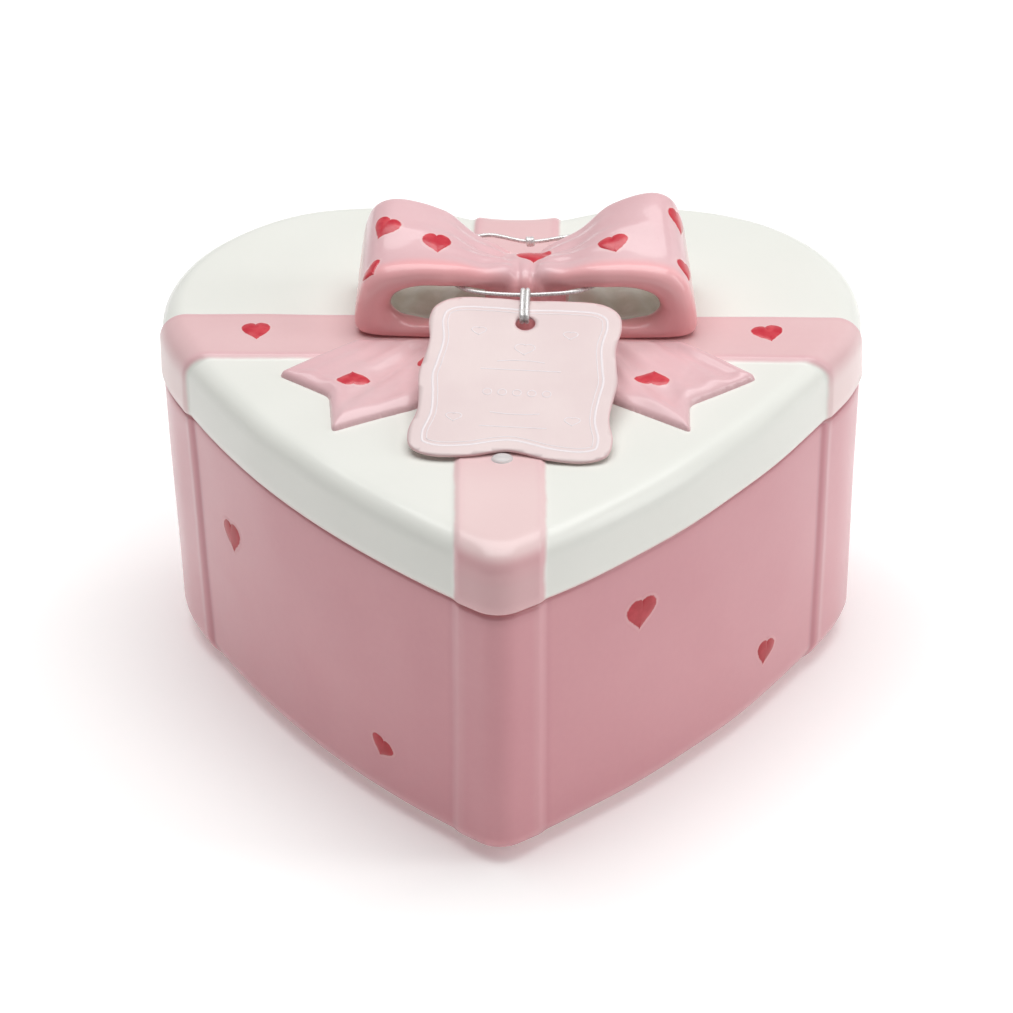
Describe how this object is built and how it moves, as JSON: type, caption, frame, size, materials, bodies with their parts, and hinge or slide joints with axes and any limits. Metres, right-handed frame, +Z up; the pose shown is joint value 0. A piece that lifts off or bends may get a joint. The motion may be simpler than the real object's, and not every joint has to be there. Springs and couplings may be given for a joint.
{
  "type": "wind up music box",
  "caption": "Heart-shaped glazed ceramic trinket box with a lift-off lid, moulded ribbon bow and gift tag, over a key-wound cylinder movement.",
  "frame": {"origin": "middle of the footprint on the table plane, under the box", "axes": "+Z up, the heart's tip points along -Y, +X across the two lobes"},
  "size_m": [0.15, 0.1467, 0.0984],
  "materials": {
    "white_glaze": "gloss",
    "pink_glaze": "gloss",
    "ribbon_glaze": "gloss",
    "tag_card": "satin",
    "silver_elastic": "metallic thread",
    "clear_silicone": "translucent",
    "white_plastic": "matte",
    "bright_steel": "brushed",
    "blued_steel": "blued",
    "hard_steel": "ground",
    "nickel_key": "polished",
    "cast_frame": "cast, lacquered",
    "turned_brass": "turned",
    "fan_plastic": "gloss"
  },
  "bodies": {
    "housing": {"base_shell": "pink_glaze", "foot_pads": "clear_silicone", "bottom_plate": "white_plastic", "plate_screws": "bright_steel", "bedplate": "cast_frame", "barrel_bridge": "turned_brass", "bridge_screws": "bright_steel", "click_screw": "bright_steel", "comb": "hard_steel", "comb_spacer": "turned_brass", "comb_screws": "bright_steel", "governor_bracket": "cast_frame", "governor_screws": "bright_steel", "rod_guide": "turned_brass"},
    "lid": {"lid": "white_glaze", "bow": "ribbon_glaze", "bow_tails": "ribbon_glaze", "tag_cord": "silver_elastic"},
    "tag": {"gift_tag": "tag_card", "tag_hitch": "silver_elastic"},
    "stop": {"stop_rod": "bright_steel", "stop_rod_cap": "white_plastic", "stop_spring": "blued_steel"},
    "winder": {"winding_key": "nickel_key", "winding_arbor": "hard_steel", "ratchet_wheel": "hard_steel"},
    "click": {"click": "hard_steel", "click_spring": "blued_steel"},
    "barrel": {"spring_barrel": "turned_brass", "barrel_cap": "turned_brass", "mainspring": "blued_steel"},
    "cylinder": {"pinned_cylinder": "turned_brass", "cylinder_arbor": "hard_steel", "cylinder_wheel": "turned_brass"},
    "governor": {"governor_wheel": "turned_brass"},
    "fly": {"fly": "fan_plastic"}
  },
  "joints": [
    {"name": "lid_lift", "type": "slide", "parent": "housing", "child": "lid", "axis": [0, 0, 1], "range_m": [0, 0.06]},
    {"name": "tag_flip", "type": "hinge", "parent": "lid", "child": "tag", "pos_m": [0.0034, 0.0108, 0.0892], "axis": [-1, 0, 0], "range_deg": [0, 100]},
    {"name": "stop_rise", "type": "slide", "parent": "housing", "child": "stop", "axis": [0, 0, 1], "range_m": [0, 0.003], "deforming": ["stop_spring"]},
    {"name": "key_wind", "type": "hinge", "parent": "housing", "child": "winder", "pos_m": [-0.008, 0.014, 0.01], "axis": [0, 0, 1], "continuous": true},
    {"name": "click_swing", "type": "hinge", "parent": "housing", "child": "click", "pos_m": [-0.017, -0.0005, 0.019], "axis": [0, 0, 1], "range_deg": [0, 8], "stiffness_Nm_per_rad": 0.002, "springref_deg": -5.73},
    {"name": "cylinder_turn", "type": "hinge", "parent": "housing", "child": "cylinder", "pos_m": [0.01, 0.014, 0.03215], "axis": [1, 0, 0], "continuous": true},
    {"name": "barrel_turn", "type": "hinge", "parent": "housing", "child": "barrel", "pos_m": [-0.008, 0.014, 0.024], "axis": [0, 0, 1], "continuous": true},
    {"name": "governor_turn", "type": "hinge", "parent": "housing", "child": "governor", "pos_m": [0.032, 0.02298, 0.02875], "axis": [1, 0, 0], "continuous": true},
    {"name": "fly_turn", "type": "hinge", "parent": "housing", "child": "fly", "pos_m": [0.032, 0.02853, 0.02875], "axis": [0, 0, 1], "continuous": true}
  ],
  "couplings": [
    {"joint": "stop_rise", "follows": "lid_lift", "ratio": 0.05},
    {"joint": "barrel_turn", "follows": "cylinder_turn", "ratio": 0.33333},
    {"joint": "governor_turn", "follows": "cylinder_turn", "ratio": -5},
    {"joint": "fly_turn", "follows": "cylinder_turn", "ratio": 100}
  ]
}
